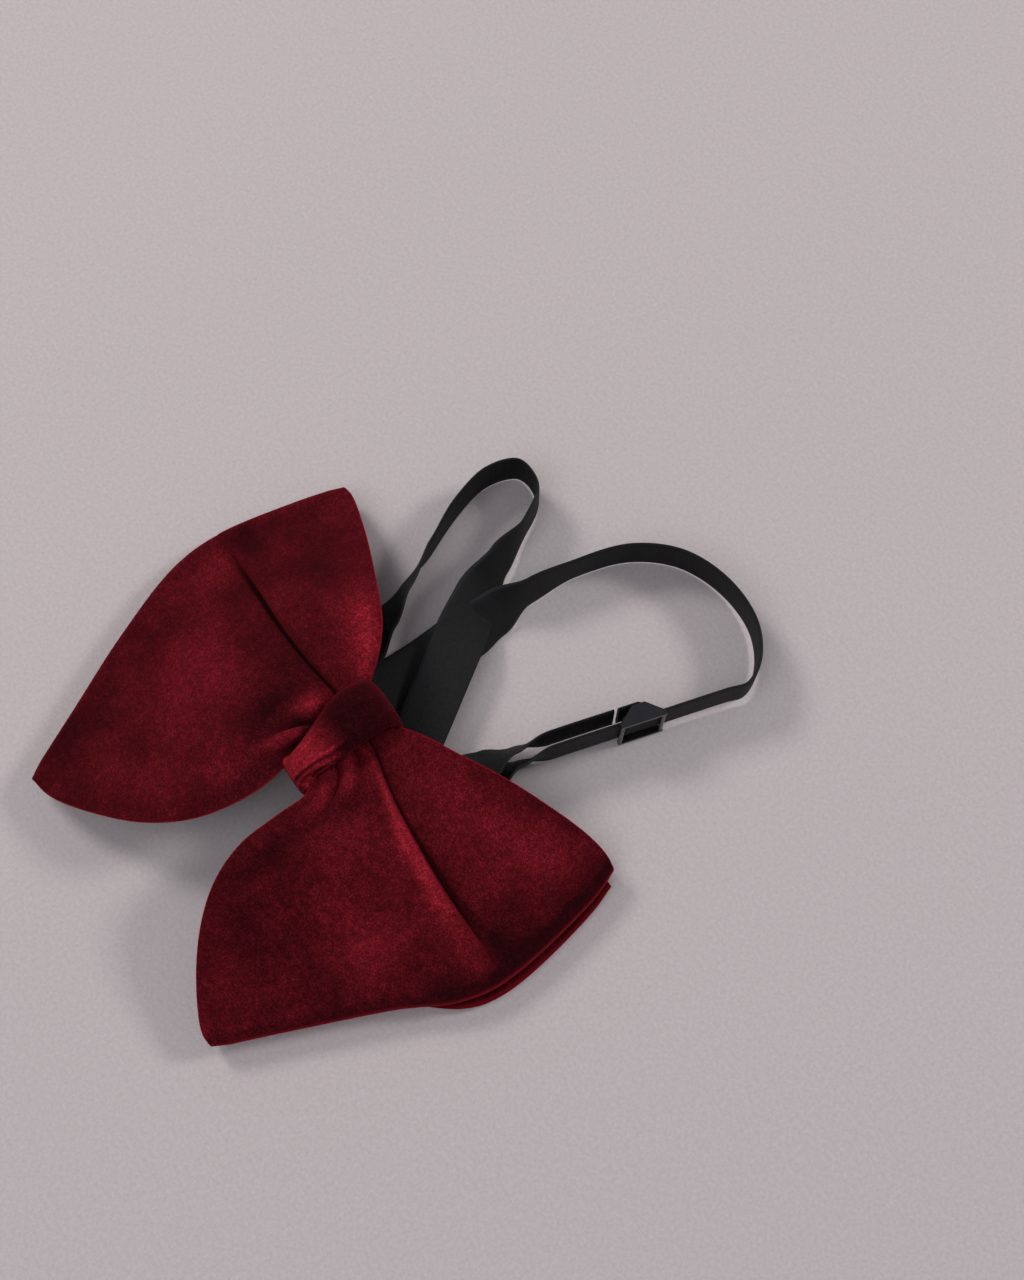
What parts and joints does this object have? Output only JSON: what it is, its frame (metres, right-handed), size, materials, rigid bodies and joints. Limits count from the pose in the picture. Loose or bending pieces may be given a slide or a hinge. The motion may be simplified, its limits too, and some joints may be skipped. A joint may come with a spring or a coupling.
{
  "type": "pre-tied butterfly bow tie",
  "caption": "Wide pleated velvet butterfly bow with a wrapped knot, a second layer behind it, and a ribbon neckband with adjuster, hook and eye.",
  "frame": {"origin": "on the floor, under the middle of the whole object's box", "axes": "+X across the bow from its left wing to its right wing as seen, +Y up as the bow is worn, +Z out of the bow's face; the bow lies on its back"},
  "size_m": [0.1518, 0.1878, 0.0346],
  "materials": {
    "wine_velvet": "pile velvet, dark wine red",
    "interlining": "woven fusible interlining",
    "wadding": "soft polyester wadding",
    "black_ribbon": "matt woven polyester ribbon",
    "wine_thread": "sewing thread",
    "black_thread": "sewing thread",
    "dark_metal": "black nickel plate"
  },
  "bodies": {
    "bow": {"loop_velvet": "wine_velvet", "loop_interlining": "interlining", "loop_join_tape": "interlining", "tails_velvet": "wine_velvet", "tails_interlining": "interlining", "waist_thread": "wine_thread", "knot_wadding": "wadding", "knot_wrap": "wine_velvet", "band_keeper": "black_ribbon", "neckband": "black_ribbon", "band_return_run": "black_ribbon", "hook_end_tack": "black_thread", "eye_end_tack": "black_thread"},
    "adjuster": {"adjuster_slide": "dark_metal", "band_sewn_end": "black_ribbon"},
    "hook": {"hook": "dark_metal"},
    "eye": {"eye_loop": "dark_metal"}
  },
  "joints": [
    {"name": "adjuster_travel", "type": "slide", "parent": "bow", "child": "adjuster", "axis": [-0.28, -0.96, 0], "range_m": [-0.018, 0.018], "deforming": ["band_return_run"]},
    {"name": "hook_swing", "type": "hinge", "parent": "bow", "child": "hook", "pos_m": [0.0205, -0.01493, 0.00439], "axis": [-0.9935, 0.1135, 0], "range_deg": [-10, 30]},
    {"name": "eye_swing", "type": "hinge", "parent": "bow", "child": "eye", "pos_m": [-0.0225, -0.01493, 0.00409], "axis": [-0.971, -0.239, 0], "range_deg": [-10, 30]}
  ]
}
